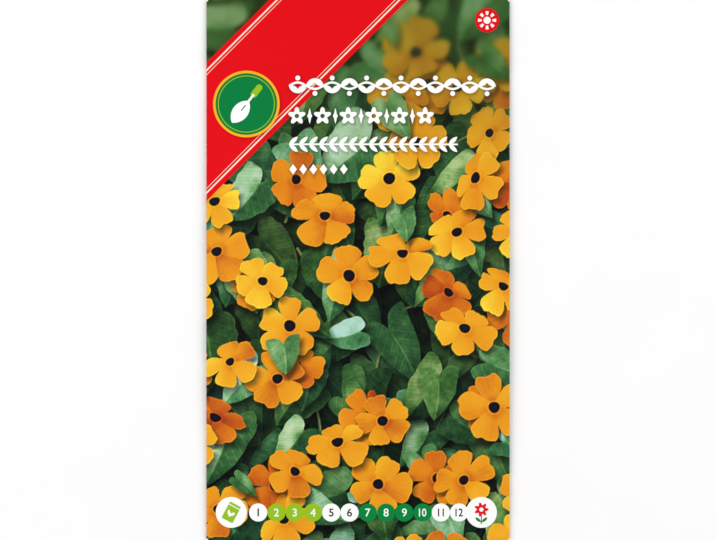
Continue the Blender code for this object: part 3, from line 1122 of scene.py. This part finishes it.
def numeralPiece(name, numbers, material):
    # month numbers as thin raised ink: each is set out flat, centred on its disc, and laid on the sheet, at
    # the height of the sheet's outer face there
    months, joined = graphics["months"], bmesh.new()
    for number in numbers:
        text = bpy.data.curves.new(f"{name}_{number}", "FONT")
        text.body = str(number)
        text.size = numerals["tall"] * mm
        text.offset = numerals["bold"] * mm
        text.extrude = numerals["thick"] * mm
        text.resolution_u = 6
        holder = bpy.data.objects.new(text.name, text)
        bpy.context.scene.collection.objects.link(holder)
        bpy.context.view_layer.update()
        flat = bpy.data.meshes.new_from_object(holder.evaluated_get(bpy.context.evaluated_depsgraph_get()))
        points = np.empty(len(flat.vertices) * 3, dtype=np.float32)
        flat.vertices.foreach_get("co", points)
        points = points.reshape(-1, 3) / mm
        middle = (points.min(axis=0) + points.max(axis=0)) / 2
        narrow = 0.84 if number > 9 else 1.0
        x = (points[:, 0] - middle[0]) * narrow + months["first"] + months["pitch"] * (number - 1)
        y = points[:, 1] - middle[1] + months["y"]
        top = middleSurface(x, y)[:, 2] + sheet["paper"] / 2 + numerals["proud"]
        points = np.stack((x, y, top + points[:, 2]), axis=-1) * mm
        flat.vertices.foreach_set("co", points.astype(np.float32).ravel())
        joined.from_mesh(flat)
        bpy.data.objects.remove(holder, do_unlink=True)
        bpy.data.meshes.remove(flat)
    bmesh.ops.remove_doubles(joined, verts=joined.verts, dist=0.002 * mm)
    bmesh.ops.recalc_face_normals(joined, faces=joined.faces)
    mesh = bpy.data.meshes.new(name)
    joined.to_mesh(mesh)
    joined.free()
    mesh.materials.append(material)
    piece = bpy.data.objects.new(name, mesh)
    bpy.context.scene.collection.objects.link(piece)
    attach(piece, "root")


numeralPiece("month_numbers_dark", (1, 5, 6, 11, 12), darkInk)
numeralPiece("month_numbers_pale", (2, 3, 4, 7, 8, 9, 10), paleInk)
print("set the month numbers")

sachet = {
    "seal": 7.0,
    "web": 0.10,
    "gap": 0.10,
    "sealGap": 0.05,
    "pillow": 3.1,
    "ribPitch": 2.4,
    "ribDepth": 0.035,
    "pitch": 0.6,
}
pillowX = (sachetOutline[2] - sachetOutline[0]) / 2 - sachet["seal"]
pillowY = (sachetOutline[3] - sachetOutline[1]) / 2 - sachet["seal"]
pillowMiddle = (sachetOutline[1] + sachetOutline[3]) / 2


def makeSachetPaper():
    # paper with a foil's sheen, greyer on the seals
    start, shader = newMaterial(sachetPaper, {"Specular IOR Level": 0.5})
    place, (x, y, _) = placeInMm(start)
    fibre = speckle(start, place, 700, 4)
    inset = least(pillowX - abs(x), pillowY - abs(y - pillowMiddle))
    seal = within(inset, 0.4)
    colour = over(ink(232, 232, 230), ink(214, 215, 216), fibre)
    colour = over(colour, ink(206, 208, 212), 0.6 * seal)
    feed(shader, colour=colour, roughness=0.34 + 0.2 * fibre, metal=0.25 + 0.1 * seal,
         normal=bump(start, speckle(start, place, 260, 4), 0.25, 0.0003))


def sachetWeb(name, puffed):
    # a flat web, or over it one puffed up by 3.1 mm times an S curve of 1.12 (1 - a^3)(1 - b^3), with a and b
    # the shares of the way to the seals; small ribs run across the seals
    x0, y0, x1, y1 = sachetOutline
    x, y = lines(x0, (x1, sachet["pitch"])), lines(y0, (y1, sachet["pitch"]))
    u, v = np.meshgrid(x, y)
    lowest = sheet["layer"] + sheet["paper"] + sachet["gap"] + sachet["web"] / 2
    a, b = hold(np.abs(u) / pillowX), hold(np.abs(v - pillowMiddle) / pillowY)
    inset = np.minimum(pillowX - np.abs(u), pillowY - np.abs(v - pillowMiddle))
    onSeal = ease(0.6, -0.6, inset)
    ribs = np.cos(2 * math.pi * v / sachet["ribPitch"]) * np.cos(2 * math.pi * u / sachet["ribPitch"])
    height = lowest + onSeal * sachet["ribDepth"] * ribs
    if puffed:
        height = height + sachet["web"] + sachet["sealGap"]
        height = height + sachet["pillow"] * ease(0, 1, 1.12 * (1 - a**3) * (1 - b**3))
        pucker = np.sin(0.9 * v + 0.3 * u) * np.exp(-((inset - 2) / 2.2) ** 2)
        height = height - 0.05 * (1 + pucker) * ease(0, 1.5, inset)
    middle = np.stack((u, v, height), axis=-1)
    across = facing(middle, x, y) * sachet["web"] / 2
    top, topFaces = gridFaces(len(y), len(x))
    under, underFaces = gridFaces(len(y), len(x), top.size)
    walls = wallsBetween(top, under)
    quads = np.concatenate((topFaces, underFaces[:, ::-1]))
    points = np.concatenate(((middle + across).reshape(-1, 3), (middle - across).reshape(-1, 3)))
    piece = newPiece(f"{name}_sheet", points, quads, walls, np.zeros(len(quads) + len(walls)), [sachetPaper])
    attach(piece, "root")
    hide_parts(name)


makeSachetPaper()
sachetWeb("sachet_back_web", False)
sachetWeb("sachet_front_web", True)

seeds = {"columns": 40, "rows": 20, "size": 3.7, "thickness": 2.8, "net": 0.05, "hollow": 0.26, "draw": 12}


def seedShape(number, centre, turn, draw):
    # a flattened ball, r = 1 - 0.26 exp(-(angle from the hollow / 0.55)^2), raised by a net, which is the
    # product of two slanted waves round the ball; both poles are closed by triangles
    theta = np.linspace(0, math.pi, seeds["rows"] + 1)[1:-1, None]
    phi = np.linspace(0, 2 * math.pi, seeds["columns"] + 1)[None, :-1]
    ball = np.broadcast_arrays(np.sin(theta) * np.cos(phi), np.sin(theta) * np.sin(phi), np.cos(theta))
    ball = np.concatenate((np.stack(ball, -1).reshape(-1, 3), [[0, 0, 1], [0, 0, -1]]))
    tall, spin = np.arccos(hold(ball[:, 2], -1, 1)), np.arctan2(ball[:, 1], ball[:, 0])
    net = np.abs(np.cos(4 * spin + 3 * tall + draw.uniform(0, 6)) * np.cos(4 * spin - 3 * tall))
    radius = 1 - seeds["hollow"] * np.exp(-((np.arccos(hold(ball[:, 0], -1, 1)) / 0.55) ** 2))
    radius = radius - seeds["net"] * (1 - net**0.5) * np.sin(tall)
    shape = ball * radius[:, None] * [seeds["size"] / 2, seeds["size"] / 2, seeds["thickness"] / 2]
    cos, sin = math.cos(turn), math.sin(turn)
    shape = shape @ np.array([[cos, sin, 0], [-sin, cos, 0], [0, 0, 1]])
    rows, columns = len(theta), seeds["columns"]
    index = np.arange(rows * columns).reshape(rows, columns)
    loop = np.concatenate((index, index[:, :1]), axis=1)
    quads = np.stack((loop[:-1, :-1], loop[1:, :-1], loop[1:, 1:], loop[:-1, 1:]), -1).reshape(-1, 4)
    north, south = rows * columns, rows * columns + 1
    caps = np.concatenate((
        np.stack((loop[0, :-1], loop[0, 1:], np.full(columns, north)), -1),
        np.stack((loop[-1, 1:], loop[-1, :-1], np.full(columns, south)), -1),
    ))
    kinds = np.zeros(len(quads) + len(caps))
    piece = newPiece(f"netted_seed_{number:02d}", shape + centre, quads, caps, kinds, [seedSkin], 180)
    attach(piece, "root")
    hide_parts(f"seed_{number:02d}")


seedDraw = np.random.default_rng(seeds["draw"])
for number, centre in enumerate(seedPlaces, start=1):
    seedShape(number, centre, seedDraw.uniform(0, 6.28), seedDraw)
print("filled the sachet")

view = {
    "lens": 135.0,
    "sensor": 36.0,
    "packetPixels": 540.0,
    "imageWidth": 716.0,
    "closer": 0.995,
    "lookAt": (0.0, 0.0, 1.2),
}
across = view["imageWidth"] * sheet["height"] / view["packetPixels"]
distance = view["closer"] * across * view["lens"] / view["sensor"]
cameraData = bpy.data.cameras.new("camera")
cameraData.lens = view["lens"]
cameraData.sensor_width = view["sensor"]
cameraData.clip_end = 20
camera = bpy.data.objects.new("camera", cameraData)
camera.location = Vector((view["lookAt"][0], view["lookAt"][1], view["lookAt"][2] + distance)) * mm
bpy.context.scene.collection.objects.link(camera)
bpy.context.scene.camera = camera

floorMesh = bpy.data.meshes.new("floor")
reach = 2.5
corners = [(-reach, -reach), (reach, -reach), (reach, reach), (-reach, reach)]
floorMesh.from_pydata([(x, y, -0.02 * mm) for x, y in corners], [], [(0, 1, 2, 3)])
floorMesh.materials.append(paleFloor)
floor = bpy.data.objects.new("floor", floorMesh)
bpy.context.scene.collection.objects.link(floor)

lights = {
    "left": {"place": (-0.75, 0.15, 0.62), "size": 0.7, "power": 4.3},
    "right": {"place": (0.75, 0.1, 0.62), "size": 0.7, "power": 3.5},
}
for name, light in lights.items():
    data = bpy.data.lights.new(name, "AREA")
    data.size = light["size"]
    data.energy = light["power"]
    lamp = bpy.data.objects.new(name, data)
    lamp.location = light["place"]
    lamp.rotation_euler = (-Vector(light["place"])).to_track_quat("-Z", "Y").to_euler()
    bpy.context.scene.collection.objects.link(lamp)
world = bpy.data.worlds.new("studio")
world.use_nodes = True
world.node_tree.nodes["Background"].inputs["Color"].default_value = (1, 1, 1, 1)
world.node_tree.nodes["Background"].inputs["Strength"].default_value = 0.59
bpy.context.scene.world = world
bpy.context.scene.view_settings.view_transform = "Standard"
